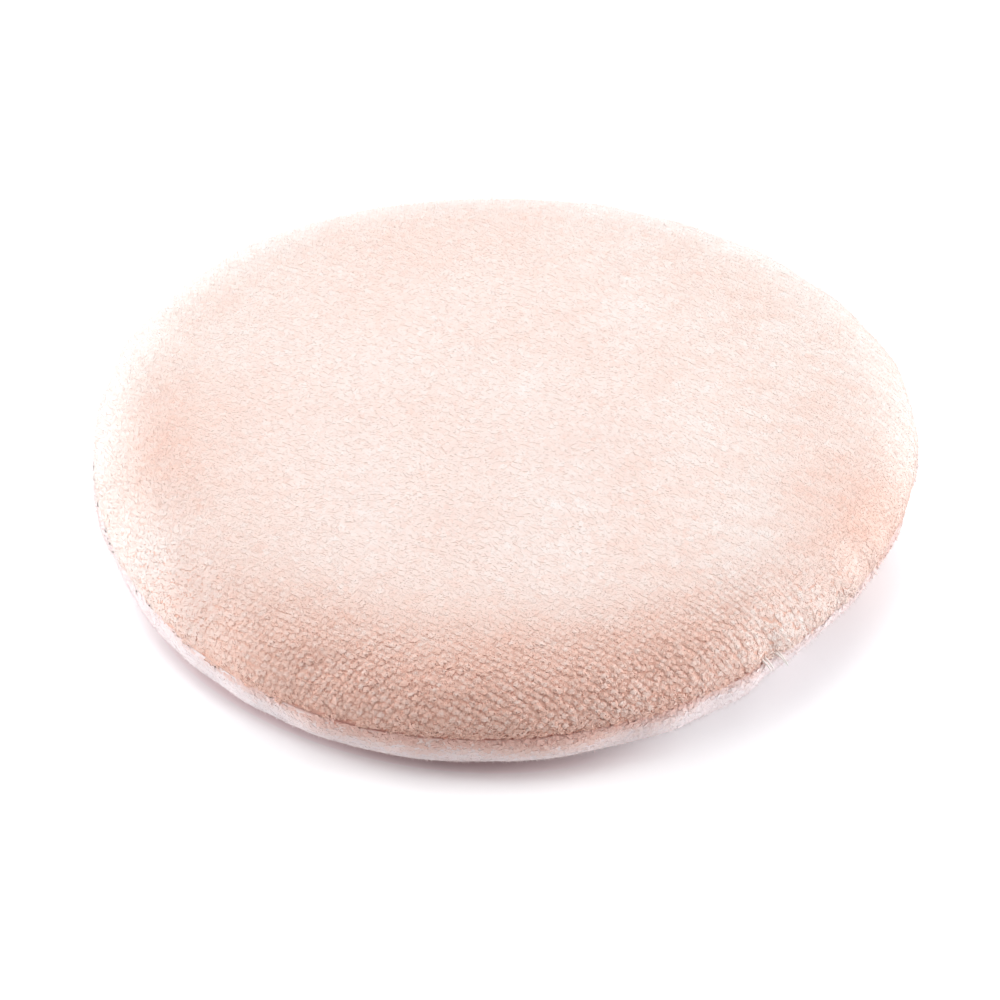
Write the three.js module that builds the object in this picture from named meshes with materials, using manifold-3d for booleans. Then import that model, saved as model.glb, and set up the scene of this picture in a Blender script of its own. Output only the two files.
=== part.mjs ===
// Round velour powder puff. Two velour discs are lockstitched together round the rim with their pile
// sides facing, turned right side out over a foam pad through a gap in the seam, and the gap is
// closed by hand with a ladder stitch. Millimetres, +Z up. The origin is the centre of the underside,
// on the surface that the puff rests on.

import * as THREE from "three";
import { mergeVertices } from "three/addons/utils/BufferGeometryUtils.js";
import Module from "manifold-3d";

const wasm = await Module();
wasm.setup();

// Driving dimensions of the finished puff, over the pile
const puffDiameter = 80;
const puffThickness = 13;
const seamHeight = 6.3; // rim seam above the surface the puff rests on
const upperShoulder = 17; // how far in from the rim the top face starts to round over
const lowerShoulder = 11; // the same on the underside, which lies flat inside it
const crownRise = 0.8; // swell of the top face from its shoulder to its middle
const creaseDepth = 1.1; // how far the seam is drawn in behind the widest line of the rim
const gatherCount = 16; // soft gathers that the seam draws into the rim
const gatherDepth = 0.3;

// Velour and its turned-in edges
const velourThickness = 1.8; // knitted ground and pile
const allowanceWidth = 4.6; // turned-in edge, measured from the crease
const allowanceThickness = 0.7; // the pile is crushed flat there
const padLip = 0.35; // straight edge of the foam pad above and below the turned-in edges

// Sewing
const threadDiameter = 0.3;
const knotDiameter = 0.5;
const stitchLength = 4;
const closingLength = 42; // gap in the machine seam, measured along the stitch line
const closingStitchLength = 3.5;
const closingAngle = THREE.MathUtils.degToRad(-17); // middle of the gap, from +X towards +Y
const threadTail = 2.2; // thread left beyond the last stitch

// Clearances between neighbouring pieces
const fitGap = 0.3;
const threadGap = 0.1;

// How finely the round shapes are divided
const roundSegments = 64; // four to a gather
const padSegments = 48;
const shoulderSteps = 6;
const innerShoulderSteps = 3;
const creaseSteps = 3;
const threadSides = 5;

// Sizes that follow from the driving dimensions. Heights here are measured from the seam plane.
const rimRadius = puffDiameter / 2;
const upperFace = puffThickness - seamHeight;
const lowerFace = seamHeight;
const creaseRadius = rimRadius - creaseDepth;
const allowanceEnd = creaseRadius - allowanceWidth;
const allowanceLow = fitGap / 2;
const allowanceHigh = allowanceLow + allowanceThickness;
const threadRun = allowanceHigh + threadGap + threadDiameter / 2; // thread lying on a turned-in edge
const knotRun = allowanceHigh + threadGap + knotDiameter / 2;
const padGroove = allowanceHigh + threadGap + knotDiameter + fitGap; // half the groove in the pad's edge
const widestLine = padGroove + padLip;

// Sizes of the lockstitch: two thread loops hooked through each other in the needle hole
const loopHalfWidth = threadDiameter + threadGap;
const loopDepth = (threadDiameter + threadGap) / 2;
const needleHoleRadius = loopHalfWidth + threadDiameter + threadGap * Math.SQRT2;
const handHoleRadius = (threadDiameter / 2 + threadGap) * Math.SQRT2;
const stitchRadius = rimRadius - velourThickness - needleHoleRadius - fitGap;
const closingHalfAngle = closingLength / stitchRadius / 2;

// Where the stitches go through the turned-in edges, as angles round the puff
const seamAngle = 2 * Math.PI - 2 * closingHalfAngle;
const stitchCount = Math.round((seamAngle * stitchRadius) / stitchLength);
const needleAngles = Array.from(
  { length: stitchCount },
  (_, i) => closingAngle + closingHalfAngle + ((i + 0.5) * seamAngle) / stitchCount,
);
const closingCount = 2 * Math.round(closingLength / closingStitchLength / 2);
const handAngles = Array.from(
  { length: closingCount },
  (_, i) => closingAngle - closingHalfAngle + ((i + 0.5) * 2 * closingHalfAngle) / closingCount,
);

// Turns a profile round Z into one closed surface. The profile runs from the axis to the axis, and
// each point says how much of the gathers reaches it.
function turned(profile, segments) {
  const last = profile.length - 1;
  const rings = profile.slice(1, last);
  const positions = [0, 0, profile[0].y];
  for (const { r, y, gather = 0 } of rings) {
    for (let i = 0; i < segments; i++) {
      const angle = (i / segments) * 2 * Math.PI;
      const pull = (gather * gatherDepth * (1 - Math.cos(gatherCount * angle))) / 2;
      positions.push((r - pull) * Math.cos(angle), (r - pull) * Math.sin(angle), y);
    }
  }
  positions.push(0, 0, profile[last].y);
  const endPole = positions.length / 3 - 1;
  const at = (ring, i) => 1 + ring * segments + (i % segments);
  const index = [];
  for (let i = 0; i < segments; i++) {
    index.push(0, at(0, i), at(0, i + 1));
    for (let ring = 0; ring < rings.length - 1; ring++) {
      index.push(at(ring, i), at(ring + 1, i), at(ring + 1, i + 1));
      index.push(at(ring, i), at(ring + 1, i + 1), at(ring, i + 1));
    }
    index.push(at(rings.length - 1, i), endPole, at(rings.length - 1, i + 1));
  }
  const geometry = new THREE.BufferGeometry();
  geometry.setAttribute("position", new THREE.Float32BufferAttribute(positions, 3));
  geometry.setIndex(index);
  return geometry;
}

// One face of the puff from its middle to its widest line: a shallow dome, then a rounded shoulder.
// The inset moves it inwards by the thickness of what lies outside it.
function facePoints(face, shoulder, crown, inset, steps) {
  const domeRadius = rimRadius - shoulder;
  const middle = face - inset;
  const domeEdge = middle - crown;
  const edgeSlope = (-2 * crown) / domeRadius;
  const drop = domeEdge - widestLine;
  const reach = shoulder - inset;
  const roundness = 0.552; // makes the curve nearly a quarter of an ellipse
  const shoulderCurve = new THREE.CubicBezierCurve(
    new THREE.Vector2(domeRadius, domeEdge),
    new THREE.Vector2(domeRadius + roundness * reach, domeEdge + roundness * reach * edgeSlope),
    new THREE.Vector2(rimRadius - inset, widestLine + roundness * drop),
    new THREE.Vector2(rimRadius - inset, widestLine),
  );
  const points = [{ r: 0, y: middle }];
  if (crown > 0) points.push({ r: domeRadius / 2, y: middle - crown / 4 });
  shoulderCurve.getPoints(steps).forEach((p, i) => {
    points.push({ r: p.x, y: p.y, gather: inset > 0 ? 0 : (i / steps) ** 2 });
  });
  return points;
}

// The rim of a cover from its widest line into the crease of the seam
function creasePoints() {
  const drop = widestLine - allowanceLow;
  return Array.from({ length: creaseSteps }, (_, i) => {
    const turn = ((i + 1) / creaseSteps) * (Math.PI / 2);
    return {
      r: creaseRadius + creaseDepth * Math.cos(turn),
      y: widestLine - drop * Math.sin(turn),
      gather: Math.cos(turn),
    };
  });
}

// A velour cover, face up, above the seam plane, with its turned-in edge
function coverGeometry(face, shoulder, crown) {
  const inside = facePoints(face, shoulder, crown, velourThickness, innerShoulderSteps);
  return turned(
    [
      ...facePoints(face, shoulder, crown, 0, shoulderSteps),
      ...creasePoints(),
      { r: allowanceEnd, y: allowanceLow },
      { r: allowanceEnd, y: allowanceHigh },
      { r: rimRadius - velourThickness, y: allowanceHigh },
      ...inside.reverse(),
    ],
    roundSegments,
  );
}

function solidOf(geometry) {
  const bare = new THREE.BufferGeometry().setAttribute("position", geometry.getAttribute("position"));
  if (geometry.index) bare.setIndex(geometry.index);
  const merged = mergeVertices(bare, 1e-4);
  return new wasm.Manifold(
    new wasm.Mesh({
      numProp: 3,
      vertProperties: merged.getAttribute("position").array,
      triVerts: new Uint32Array(merged.index.array),
    }),
  );
}

function geometryOf(solid) {
  const mesh = solid.getMesh();
  const geometry = new THREE.BufferGeometry();
  geometry.setAttribute("position", new THREE.BufferAttribute(mesh.vertProperties, 3));
  geometry.setIndex(new THREE.BufferAttribute(mesh.triVerts, 1));
  return geometry;
}

// Pierces a cover's turned-in edge at each stitch. A cover that lies face down is seen mirrored, so
// its angles run the other way.
function pierced(geometry, direction) {
  const middle = (allowanceLow + allowanceHigh) / 2;
  const length = allowanceThickness + fitGap;
  const holes = [
    ...needleAngles.map((angle) => ({ angle, radius: needleHoleRadius })),
    ...handAngles.map((angle) => ({ angle, radius: handHoleRadius })),
  ];
  let solid = solidOf(geometry);
  for (const { angle, radius } of holes) {
    const hole = new THREE.CylinderGeometry(radius, radius, length, 4);
    hole.rotateX(Math.PI / 2);
    hole.translate(0, stitchRadius, middle);
    hole.rotateZ(direction * angle - Math.PI / 2);
    solid = solid.subtract(solidOf(hole));
  }
  return geometryOf(solid);
}

// The foam pad fills both covers and is nipped round its edge by their turned-in edges
function padGeometry() {
  const inset = velourThickness + fitGap;
  const edge = rimRadius - inset;
  const floor = allowanceEnd - fitGap;
  const upper = facePoints(upperFace, upperShoulder, crownRise, inset, innerShoulderSteps);
  const lower = facePoints(lowerFace, lowerShoulder, 0, inset, innerShoulderSteps);
  return turned(
    [
      ...upper,
      { r: edge, y: padGroove },
      { r: floor, y: padGroove },
      { r: floor, y: -padGroove },
      { r: edge, y: -padGroove },
      ...lower.reverse().map(({ r, y }) => ({ r, y: -y })),
    ],
    padSegments,
  );
}

// A point near the stitch line: along and across it from a stitch, at a height from the seam plane
function atStitch(angle, along, across, height) {
  const radius = stitchRadius + across;
  const out = new THREE.Vector2(Math.cos(angle), Math.sin(angle));
  return new THREE.Vector3(radius * out.x - along * out.y, radius * out.y + along * out.x, height);
}

// Sweeps a round thread along corner points, with mitred corners. Each point gives its own thickness.
function threadGeometry(path) {
  const points = path.map((p) => p.at);
  const last = points.length - 1;
  const ways = points.slice(1).map((p, i) => p.clone().sub(points[i]).normalize());
  const side = new THREE.Vector3().crossVectors(ways[0], new THREE.Vector3(1, 2, 3)).normalize();
  const positions = [];
  points.forEach((point, i) => {
    const before = ways[Math.max(i - 1, 0)];
    const after = ways[Math.min(i, last - 1)];
    const mitre = before.clone().add(after).normalize();
    const other = new THREE.Vector3().crossVectors(before, side);
    for (let k = 0; k < threadSides; k++) {
      const turn = (k / threadSides) * 2 * Math.PI;
      const offset = side.clone().multiplyScalar(Math.cos(turn)).addScaledVector(other, Math.sin(turn));
      offset.multiplyScalar(path[i].thickness / 2);
      offset.addScaledVector(before, -offset.dot(mitre) / before.dot(mitre));
      positions.push(...point.clone().add(offset).toArray());
    }
    side.applyQuaternion(new THREE.Quaternion().setFromUnitVectors(before, after));
  });
  positions.push(...points[0].toArray(), ...points[last].toArray());
  const startMiddle = positions.length / 3 - 2;
  const endMiddle = startMiddle + 1;
  const at = (i, k) => i * threadSides + (k % threadSides);
  const index = [];
  for (let k = 0; k < threadSides; k++) {
    index.push(startMiddle, at(0, k + 1), at(0, k));
    for (let i = 0; i < last; i++) {
      index.push(at(i, k), at(i, k + 1), at(i + 1, k + 1));
      index.push(at(i, k), at(i + 1, k + 1), at(i + 1, k));
    }
    index.push(endMiddle, at(last, k), at(last, k + 1));
  }
  const geometry = new THREE.BufferGeometry();
  geometry.setAttribute("position", new THREE.Float32BufferAttribute(positions, 3));
  geometry.setIndex(index);
  return geometry;
}

const plainThread = (at) => ({ at, thickness: threadDiameter });

// The two ends of a seam's thread, left lying along the stitch line past the first and last stitch
function withTails(points, angles, across, height) {
  const first = atStitch(angles[0], -threadTail, across[0], height);
  const last = atStitch(angles[angles.length - 1], threadTail, across[1], height);
  return [first, ...points, last].map(plainThread);
}

// Needle thread: runs along the upper turned-in edge and dips a loop into each needle hole
function needleThread() {
  const round = threadDiameter / 2;
  const points = needleAngles.flatMap((angle) => [
    atStitch(angle, -loopHalfWidth, 0, threadRun),
    atStitch(angle, -loopHalfWidth, 0, -loopDepth + round),
    atStitch(angle, -loopHalfWidth + round, 0, -loopDepth),
    atStitch(angle, loopHalfWidth - round, 0, -loopDepth),
    atStitch(angle, loopHalfWidth, 0, -loopDepth + round),
    atStitch(angle, loopHalfWidth, 0, threadRun),
  ]);
  return threadGeometry(withTails(points, needleAngles, [0, 0], threadRun));
}

// Bobbin thread: runs along the lower turned-in edge and lifts a loop through the needle thread's
// loop, crossing the stitch line to the other side at each stitch
function bobbinThread() {
  const round = threadDiameter / 2;
  const sideOf = (i) => (i % 2 === 0 ? -loopHalfWidth : loopHalfWidth);
  const points = needleAngles.flatMap((angle, i) => {
    const from = sideOf(i);
    const inwards = -Math.sign(from) * round;
    return [
      atStitch(angle, 0, from, -threadRun),
      atStitch(angle, 0, from, loopDepth - round),
      atStitch(angle, 0, from + inwards, loopDepth),
      atStitch(angle, 0, -from - inwards, loopDepth),
      atStitch(angle, 0, -from, loopDepth - round),
      atStitch(angle, 0, -from, -threadRun),
    ];
  });
  const ends = [sideOf(0), -sideOf(stitchCount - 1)];
  return threadGeometry(withTails(points, needleAngles, ends, -threadRun));
}

// Closing thread: a ladder stitch that runs inside the upper fold and the lower fold in turn, with a
// knot at each end
function closingThread() {
  const rungs = handAngles.flatMap((angle, i) => {
    const ends = [atStitch(angle, 0, 0, threadRun), atStitch(angle, 0, 0, -threadRun)];
    return (i % 2 === 0 ? ends : ends.reverse()).map(plainThread);
  });
  const knot = (angle, direction) =>
    [threadTail / 2, threadTail / 2 + knotDiameter / 2, threadTail / 2 + knotDiameter].map((along, i) => ({
      at: atStitch(angle, direction * along, 0, knotRun),
      thickness: i === 1 ? knotDiameter : threadDiameter,
    }));
  const startKnot = knot(handAngles[0], -1).reverse();
  const endKnot = knot(handAngles[closingCount - 1], 1);
  return threadGeometry([...startKnot, ...rungs, ...endKnot]);
}

const velour = new THREE.MeshStandardMaterial({ color: 0xf2d8cc, roughness: 0.95, metalness: 0 });
const paleVelour = new THREE.MeshStandardMaterial({ color: 0xf3ddd4, roughness: 0.95, metalness: 0 });
const foam = new THREE.MeshStandardMaterial({ color: 0xf6efe2, roughness: 0.9, metalness: 0 });
const thread = new THREE.MeshStandardMaterial({ color: 0xe9c6b6, roughness: 0.7, metalness: 0 });

function named(name, geometry, material) {
  geometry.computeVertexNormals();
  const mesh = new THREE.Mesh(geometry, material);
  mesh.name = name;
  return mesh;
}

// Everything is built about the seam plane, and the lower cover is the upper kind laid face down
const puff = new THREE.Group();
const atSeam = new THREE.Group();
atSeam.position.z = seamHeight;
puff.add(atSeam);

const faceDown = new THREE.Group();
faceDown.rotation.x = Math.PI;
atSeam.add(faceDown);

const upperCover = pierced(coverGeometry(upperFace, upperShoulder, crownRise), 1);
const lowerCover = pierced(coverGeometry(lowerFace, lowerShoulder, 0), -1);
atSeam.add(named("upper_cover", upperCover, velour));
faceDown.add(named("lower_cover", lowerCover, paleVelour));
atSeam.add(named("foam_pad", padGeometry(), foam));
atSeam.add(named("needle_thread", needleThread(), thread));
atSeam.add(named("bobbin_thread", bobbinThread(), thread));
atSeam.add(named("closing_thread", closingThread(), thread));

export default puff;
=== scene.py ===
import math
import bpy
import numpy as np
from mathutils import Matrix, Vector


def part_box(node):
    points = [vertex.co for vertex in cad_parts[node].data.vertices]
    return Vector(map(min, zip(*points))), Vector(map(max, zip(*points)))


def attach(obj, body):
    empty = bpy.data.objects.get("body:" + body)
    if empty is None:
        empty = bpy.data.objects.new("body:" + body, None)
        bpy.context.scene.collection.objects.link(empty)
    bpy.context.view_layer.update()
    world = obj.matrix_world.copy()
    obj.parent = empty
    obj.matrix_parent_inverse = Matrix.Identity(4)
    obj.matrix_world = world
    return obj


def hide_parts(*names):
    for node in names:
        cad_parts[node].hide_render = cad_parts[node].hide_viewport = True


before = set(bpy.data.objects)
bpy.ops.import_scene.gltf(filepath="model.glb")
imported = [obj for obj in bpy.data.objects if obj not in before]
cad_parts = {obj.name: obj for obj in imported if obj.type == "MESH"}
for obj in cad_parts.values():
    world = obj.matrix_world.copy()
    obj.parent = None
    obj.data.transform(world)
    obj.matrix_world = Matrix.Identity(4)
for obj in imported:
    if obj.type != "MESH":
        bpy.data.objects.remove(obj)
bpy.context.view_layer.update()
mm = 0.001
fullTurn = 2 * math.pi
goldenAngle = 2.39996  # from each seed of a sunflower to the next
triangleArea = 1.299  # of an even triangle in a circle of radius 1
upward = np.array([0.0, 0.0, 1.0])
level = np.array([1, 1, 0])  # takes the height out of a place
chance = np.random.default_rng(20)

# What the frame says about the puff
upperLow, upperHigh = [np.array(corner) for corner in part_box("upper_cover")]
lowerLow, lowerHigh = [np.array(corner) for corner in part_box("lower_cover")]
rimRadius = (upperHigh[0] - upperLow[0]) / 2
seamHeight = (upperLow[2] + lowerHigh[2]) / 2

view = {
    "distance": 500 * mm,
    "elevation": math.radians(40.1),
    "roll": math.radians(-1.23),
    "focalPixels": 5123.5,
    "framePixels": 1000,
    "originPixel": (500.2, 504.6),  # where the centre of the underside falls in the frame
    "sensor": 36.0,
    "clipStart": 10 * mm,
}


# A camera that looks at the middle of the underside, with the frame shifted so that this falls on its pixel
def makeCamera():
    camera = bpy.data.cameras.new("viewCamera")
    camera.sensor_width = view["sensor"]
    camera.lens = view["sensor"] * view["focalPixels"] / view["framePixels"]
    half = view["framePixels"] / 2
    camera.shift_x = (half - view["originPixel"][0]) / view["framePixels"]
    camera.shift_y = (view["originPixel"][1] - half) / view["framePixels"]
    camera.clip_start = view["clipStart"]
    lift = view["elevation"]
    right = Vector((1, 0, 0))
    up = Vector((0, math.sin(lift), math.cos(lift)))
    back = Vector((0, -math.cos(lift), math.sin(lift)))
    turn = Matrix((right, up, back)).transposed() @ Matrix.Rotation(-view["roll"], 3, "Z")
    holder = bpy.data.objects.new("viewCamera", camera)
    holder.matrix_world = Matrix.Translation(back * view["distance"]) @ turn.to_4x4()
    bpy.context.collection.objects.link(holder)
    bpy.context.scene.camera = holder


# Shader maths


class Wire:
    # A shader socket that stands in Python expressions: each operator adds a Math node
    def __init__(self, tree, socket):
        self.tree = tree
        self.socket = socket

    # Adds any node. Settings go first, then inputs by name or place; one outlet comes back as a Wire.
    def node(self, kind, settings=None, inputs=None, outlet=0):
        made = self.tree.nodes.new(kind)
        for key, value in (settings or {}).items():
            setattr(made, key, value)
        for key, value in (inputs or {}).items():
            if isinstance(value, Wire):
                self.tree.links.new(value.socket, made.inputs[key])
            else:
                made.inputs[key].default_value = value
        return Wire(self.tree, made.outputs[outlet] if len(made.outputs) else None)

    def math(self, operation, first, second=0.0):
        return self.node("ShaderNodeMath", {"operation": operation}, {0: first, 1: second})

    def __add__(self, other):
        return self.math("ADD", self, other)

    def __sub__(self, other):
        return self.math("SUBTRACT", self, other)

    def __rsub__(self, other):
        return self.math("SUBTRACT", other, self)

    def __mul__(self, other):
        return self.math("MULTIPLY", self, other)

    def __pow__(self, other):
        return self.math("POWER", self, other)

    __radd__ = __add__
    __rmul__ = __mul__


# An empty material, and a Wire to add nodes with
def newMaterial(name):
    material = bpy.data.materials.new(name)
    material.use_nodes = True
    material.node_tree.nodes.clear()
    return material, Wire(material.node_tree, None)


# Where a point lies on its piece, in metres
def ownPlace(tree):
    return tree.node("ShaderNodeTexCoord", outlet="Object")


# One axis of a vector: 0, 1 and 2 are X, Y and Z
def axisOf(vector, axis):
    return vector.node("ShaderNodeSeparateXYZ", None, {0: vector}, outlet=axis)


# How far a place lies along a direction
def alongWay(place, way):
    settings = {"operation": "DOT_PRODUCT"}
    return place.node("ShaderNodeVectorMath", settings, {0: place, 1: way}, outlet="Value")


# Rises smoothly from 0 at the start to 1 at the end, which may also lie below the start
def ramp(value, start, end):
    limits = {"Value": value, "From Min": start, "From Max": end}
    return value.node("ShaderNodeMapRange", {"interpolation_type": "SMOOTHSTEP"}, limits)


# A colour between two others, each a tuple or a Wire
def blend(tree, share, first, second):
    settings = {"data_type": "RGBA", "blend_type": "MIX"}
    inputs = {"Factor": share}
    for socket, colour in ((6, first), (7, second)):
        inputs[socket] = (*colour, 1) if isinstance(colour, tuple) else colour
    return tree.node("ShaderNodeMix", settings, inputs, outlet=2)


# 1 for what is seen straight, mirrored or through a surface, 0 for light on its way
def lookedAt(tree):
    kinds = ("Is Camera Ray", "Is Glossy Ray", "Is Transmission Ray")
    straight, mirrored, through = [tree.node("ShaderNodeLightPath", outlet=kind) for kind in kinds]
    return tree.math("MINIMUM", straight + mirrored + through, 1.0)


def bumpOf(height, look):
    inputs = {"Strength": look["bump"], "Distance": look["bumpDepth"], "Height": height}
    return height.node("ShaderNodeBump", None, inputs)


def output(tree, surface):
    tree.node("ShaderNodeOutputMaterial", None, {"Surface": surface})


def principled(tree, inputs):
    output(tree, tree.node("ShaderNodeBsdfPrincipled", None, inputs))


pileLook = {
    # root colours are deeper partly as painted shade down between the locks
    "upper": {"root": (0.86, 0.55, 0.45), "deep": (0.935, 0.64, 0.54), "pale": (0.995, 0.975, 0.96)},
    # the lower cover is paler and more lilac than the upper: painted light, for sheen and floor light on the
    # same peach velour
    "lower": {"root": (0.86, 0.56, 0.49), "deep": (0.90, 0.62, 0.54), "pale": (0.975, 0.89, 0.905)},
    "roughness": 0.9,
    "sheen": 0.35,
    "sheenRoughness": 0.5,
    "specular": 0.1,
    "fade": 2.0,  # how soon the root's colour gives way to the tip's
    "fold": (0.70, 0.32, 0.24),  # painted shade: down in a fold, at roots on the shaded front and by the seam
    "foldBelow": 0.22,
}


# Velour pile: the map's height runs from root to tip of a tuft, its width is the tuft's tone, which carries
# painted light and shade
def pileMaterial(name):
    look = pileLook[name]
    material, tree = newMaterial(name + "Velour")
    spot = tree.node("ShaderNodeUVMap", {"uv_map": "OFBake"})
    tone, height = axisOf(spot, 0), axisOf(spot, 1)
    colour = blend(tree, tone, look["deep"], look["pale"])
    # painted shade: deeper towards the root, and reddish where the map's height is low
    colour = blend(tree, height ** pileLook["fade"], look["root"], colour)
    colour = blend(tree, ramp(height, pileLook["foldBelow"], 0.0), colour, pileLook["fold"])
    inputs = {
        "Base Color": colour,
        "Roughness": pileLook["roughness"],
        "Sheen Weight": pileLook["sheen"],
        "Sheen Roughness": pileLook["sheenRoughness"],
        "Specular IOR Level": pileLook["specular"],
    }
    principled(tree, inputs)
    return material


bedLook = {
    "upper": {"light": (0.97, 0.84, 0.79), "dark": (0.95, 0.77, 0.70)},
    # paler and more lilac than the upper bed: painted light, for sheen and floor light
    "lower": {"light": (0.96, 0.86, 0.87), "dark": (0.93, 0.80, 0.815)},
    "grain": 3200.0,
    "grainDetail": 2.0,
    "bump": 0.4,
    "bumpDepth": 0.06 * mm,
    "roughness": 0.95,
    "specular": 0.1,
    "paintedRimLight": (0.985, 0.935, 0.91),  # painted light: paler on the rim, towards the back
    "brightWay": (-0.2, 0.98, 0.0),
    "brightFromTo": (-16 * mm, 16 * mm),
    "shaded": (0.88, 0.58, 0.48),  # painted shade on the rim at the front
    "shadedFromTo": (-6 * mm, -26 * mm),
    "rimFromTo": (12.2 * mm, 9.2 * mm),
    "paintedSeamShade": (0.94, 0.74, 0.68),  # painted shade on the lower cover, close below the seam under the upper one
    "seamwardWidth": 2.0 * mm,
    # painted shade down in the crease at the seam
    "crease": (0.60, 0.28, 0.23),
    "creaseWidth": 0.45 * mm,
    "pulledFromTo": (-26 * mm, -12 * mm),  # left of this the seam is nearly flush and shows no crease
}


# Bed of the pile, where the fibres stand close: a fine grain, reddish down in the crease at the seam as
# painted shade.
# Painted shade also deepens the rim at the front and the lower cover below the seam; painted light pales the
# rim towards the back.
def bedMaterial(name):
    look = bedLook[name]
    material, tree = newMaterial(name + "Bed")
    place = ownPlace(tree)
    x, y, height = [axisOf(place, axis) for axis in range(3)]
    inputs = {"Vector": place, "Scale": bedLook["grain"], "Detail": bedLook["grainDetail"]}
    grain = tree.node("ShaderNodeTexNoise", None, inputs)
    colour = blend(tree, grain, look["dark"], look["light"])
    shaded = ramp(y, *bedLook["shadedFromTo"])
    pulled = ramp(x, *bedLook["pulledFromTo"])
    if name == "upper":
        rim = ramp(height, *bedLook["rimFromTo"])
        # painted light on the rim towards the back
        paintedRimLight = ramp(alongWay(place, bedLook["brightWay"]), *bedLook["brightFromTo"])
        colour = blend(tree, paintedRimLight * rim, colour, bedLook["paintedRimLight"])
        # painted shade on the rim at the front
        colour = blend(tree, shaded * rim, colour, bedLook["shaded"])
    else:
        # painted shade close below the seam at the front
        paintedSeamShade = ramp(height, seamHeight - bedLook["seamwardWidth"], seamHeight)
        colour = blend(tree, paintedSeamShade * shaded * pulled, colour, bedLook["paintedSeamShade"])
    # painted shade: reddish in the crease at the seam, at the front only
    crease = 1 - ramp(tree.math("ABSOLUTE", height - seamHeight), 0.0, bedLook["creaseWidth"])
    colour = blend(tree, crease * shaded * pulled, colour, bedLook["crease"])
    inputs = {
        "Base Color": colour,
        "Roughness": bedLook["roughness"],
        "Specular IOR Level": bedLook["specular"],
        "Normal": bumpOf(grain, bedLook),
    }
    principled(tree, inputs)
    return material


foamLook = {
    "wall": (0.93, 0.90, 0.82),
    # painted shade down in the hollows of the cells
    "cell": (0.72, 0.66, 0.55),
    "cells": 1600.0,
    "bump": 0.8,
    "bumpDepth": 0.2 * mm,
    "roughness": 0.9,
}


# Open-cell foam: the cells of a Voronoi pattern, with painted shade dark in their hollows
def foamMaterial():
    look = foamLook
    material, tree = newMaterial("openFoam")
    cells = tree.node("ShaderNodeTexVoronoi", None, {"Vector": ownPlace(tree), "Scale": look["cells"]})
    colour = blend(tree, cells, look["cell"], look["wall"])
    principled(tree, {"Base Color": colour, "Roughness": look["roughness"], "Normal": bumpOf(cells, look)})
    return material


threadLook = {
    "light": (0.86, 0.66, 0.57),
    "dark": (0.66, 0.44, 0.36),
    "twist": 2600.0,
    "wander": 1.5,
    "detail": 2.0,
    "bump": 0.5,
    "bumpDepth": 0.05 * mm,
    "roughness": 0.7,
}


# Spun thread: slanting bands for its two plies
def threadMaterial():
    look = threadLook
    material, tree = newMaterial("spunThread")
    inputs = {
        "Vector": ownPlace(tree),
        "Scale": look["twist"] / fullTurn,
        "Distortion": look["wander"],
        "Detail": look["detail"],
    }
    plies = tree.node("ShaderNodeTexWave", {"bands_direction": "DIAGONAL"}, inputs, outlet=1)
    colour = blend(tree, plies, look["dark"], look["light"])
    principled(tree, {"Base Color": colour, "Roughness": look["roughness"], "Normal": bumpOf(plies, look)})
    return material


# Meshes from whole arrays


# Spots are the points' places on the map
def meshPiece(name, points, faces, material, spots=None, smooth=True):
    faces = np.asarray(faces, np.int32)
    corners = faces.shape[1]
    mesh = bpy.data.meshes.new(name)
    mesh.vertices.add(len(points))
    mesh.vertices.foreach_set("co", np.asarray(points, np.float32).ravel())
    mesh.loops.add(faces.size)
    mesh.loops.foreach_set("vertex_index", faces.ravel())
    mesh.polygons.add(len(faces))
    mesh.polygons.foreach_set("loop_start", np.arange(0, faces.size, corners, dtype=np.int32))
    mesh.polygons.foreach_set("use_smooth", np.full(len(faces), smooth))
    if spots is not None:
        layer = mesh.uv_layers.new(name="OFBake")
        layer.data.foreach_set("uv", np.asarray(spots, np.float32)[faces.ravel()].ravel())
    mesh.update(calc_edges=True)
    mesh.materials.append(material)
    piece = bpy.data.objects.new(name, mesh)
    bpy.context.collection.objects.link(piece)
    return piece


# Corners of the quads on a grid that runs round and closes. Its points are numbered row by row, one row
# for each angle.
def ringQuads(rounds, wide):
    i, j = np.meshgrid(np.arange(rounds), np.arange(wide - 1), indexing="ij")
    here, there = i * wide + j, (i + 1) % rounds * wide + j
    return np.stack([here, here + 1, there + 1, there], -1).reshape(-1, 4)


# Closes a strip of rings, each one point row per angle, into one skin with a pole at both ends
def closedRings(rings, startPole, endPole):
    rounds, wide = rings.shape[:2]
    points = np.concatenate([rings.reshape(-1, 3), [startPole, endPole]])
    quads = ringQuads(rounds, wide)
    k = np.arange(rounds)
    k1 = (k + 1) % rounds
    start = np.stack([np.full(rounds, rounds * wide), k * wide, k1 * wide], -1)
    end = np.stack([np.full(rounds, rounds * wide + 1), k1 * wide + wide - 1, k * wide + wide - 1], -1)
    return points, np.concatenate([quads[:, [0, 1, 2]], quads[:, [0, 2, 3]], start, end])


# Vectors brought to length 1
def unit(vectors):
    return vectors / np.linalg.norm(vectors, axis=-1, keepdims=True)


# Even angles for one turn
def turnSteps(count):
    return np.arange(count) / count * fullTurn


# An angle brought to between minus and plus half a turn
def wrapped(angle):
    return (angle + math.pi) % fullTurn - math.pi


# Rises from 0 to 1 between two values, as three squares of the share less two cubes
def smoothStep(low, high, value):
    share = np.clip((value - low) / (high - low), 0, 1)
    return share * share * (3 - 2 * share)


# How far a place on the rim faces a way, from 0 to 1. A way is an angle in degrees, and the cosines of the
# angle off it at which this starts and is whole, which a cosine over 1 never lets it be.
def towards(angle, way):
    degrees, start, whole = way
    return smoothStep(start, whole, np.cos(angle - math.radians(degrees)))


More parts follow.
